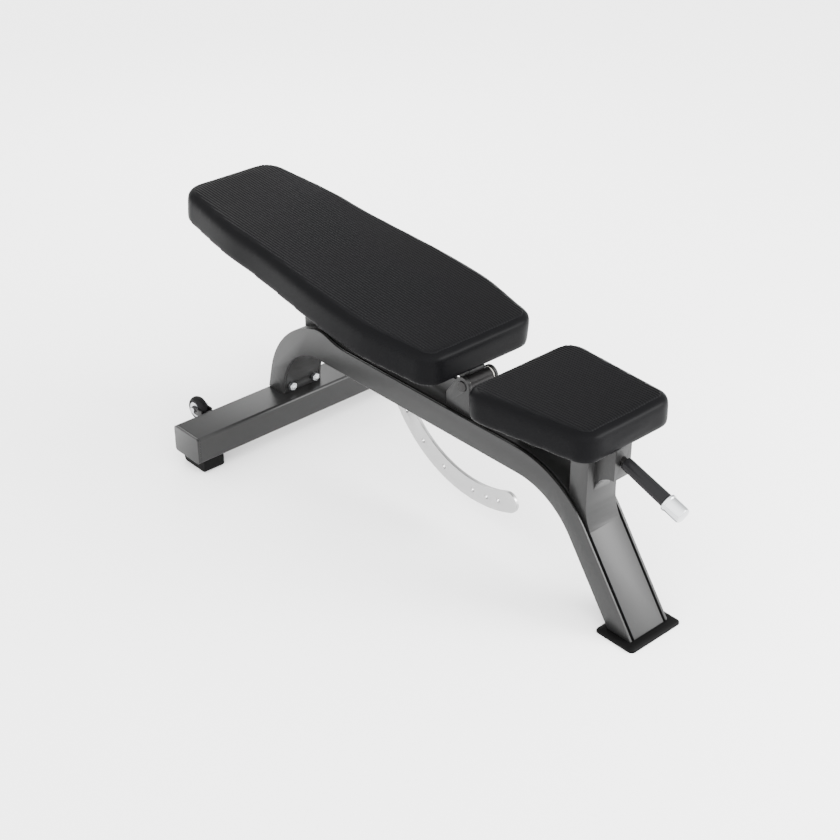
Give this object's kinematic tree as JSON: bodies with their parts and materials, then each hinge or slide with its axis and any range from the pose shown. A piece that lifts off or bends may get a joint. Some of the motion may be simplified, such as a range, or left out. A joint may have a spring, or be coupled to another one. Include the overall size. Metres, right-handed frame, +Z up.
{
  "type": "adjustable weight bench",
  "caption": "Padded incline bench on a gooseneck spine with a rear crossbar, a fixed seat, a hinged back rest locked by a pin through an arc strap, and transport wheels",
  "frame": {"origin": "on the floor under the middle of the bench's length and width", "axes": "+X from the head end of the back rest to the seat and its handle, +Y to the side the locking pin is on, +Z up"},
  "size_m": [1.3766, 0.636, 0.5455],
  "materials": {
    "frame_paint": "satin grey powder coat",
    "dark_paint": "satin dark grey powder coat",
    "vinyl": "ribbed black vinyl over foam",
    "board": "black-stained plywood",
    "rubber": "moulded black rubber",
    "tyre": "solid rubber tyre",
    "strap_steel": "brushed plate",
    "zinc": "zinc plated",
    "chrome": "polished",
    "nylon": "moulded nylon",
    "grip": "glossy black sleeve",
    "knob": "moulded black knob"
  },
  "bodies": {
    "frame": {"crossbar": "frame_paint", "bar_cap_right": "frame_paint", "bar_cap_left": "frame_paint", "rear_foot_right": "rubber", "rear_foot_left": "rubber", "wheel_bracket_right": "dark_paint", "wheel_bracket_left": "dark_paint", "wheel_bolts": "zinc", "wheel_nuts": "zinc", "neck_tongue": "dark_paint", "neck_bolts": "chrome", "neck_nuts": "zinc", "side_plate_right": "frame_paint", "side_plate_left": "frame_paint", "groove_web_right": "dark_paint", "groove_web_left": "dark_paint", "spine_top_plate": "frame_paint", "spine_bottom_plate": "frame_paint", "front_boot": "rubber", "leg_end_plate": "dark_paint", "pivot_ear_right": "frame_paint", "pivot_ear_left": "frame_paint", "pivot_plate": "frame_paint", "pivot_shaft": "zinc", "pivot_screws": "dark_paint", "pivot_washers": "nylon", "rest_post": "frame_paint", "rest_bumper": "rubber", "strap_guides": "nylon", "pin_barrel": "zinc", "pin_cap": "zinc", "seat_riser": "frame_paint", "seat_channel": "frame_paint", "seat_board": "board", "seat_cushion": "vinyl", "seat_bolts": "zinc", "front_post": "frame_paint", "handle_root": "dark_paint", "handle_bar": "dark_paint", "handle_grip": "grip", "handle_cap": "chrome", "pin_spring": "zinc"},
    "back_rest": {"hinge_tube": "dark_paint", "hinge_bushes": "nylon", "carriage_tube": "frame_paint", "cross_bar_front": "dark_paint", "cross_bar_rear": "dark_paint", "back_board": "board", "back_cushion": "vinyl", "back_bolts": "zinc", "strap_lugs": "frame_paint", "adjuster_strap": "strap_steel", "strap_bolts": "zinc"},
    "pull_pin": {"lock_pin": "chrome", "pin_knob": "knob"},
    "wheel_right": {"wheel_hub_right": "zinc", "wheel_tyre_right": "tyre"},
    "wheel_left": {"wheel_hub_left": "zinc", "wheel_tyre_left": "tyre"}
  },
  "joints": [
    {"name": "back_rest_hinge", "type": "hinge", "parent": "frame", "child": "back_rest", "pos_m": [0.146, 0, 0.357], "axis": [0, 1, 0], "range_deg": [0, 76.5]},
    {"name": "pin_slide", "type": "slide", "parent": "frame", "child": "pull_pin", "axis": [0, -1, 0], "range_m": [0, 0.014]},
    {"name": "wheel_right_axle", "type": "hinge", "parent": "frame", "child": "wheel_right", "pos_m": [-0.518, -0.228, 0.09], "axis": [0, 1, 0], "continuous": true},
    {"name": "wheel_left_axle", "type": "hinge", "parent": "frame", "child": "wheel_left", "pos_m": [-0.518, 0.228, 0.09], "axis": [0, 1, 0], "continuous": true}
  ]
}
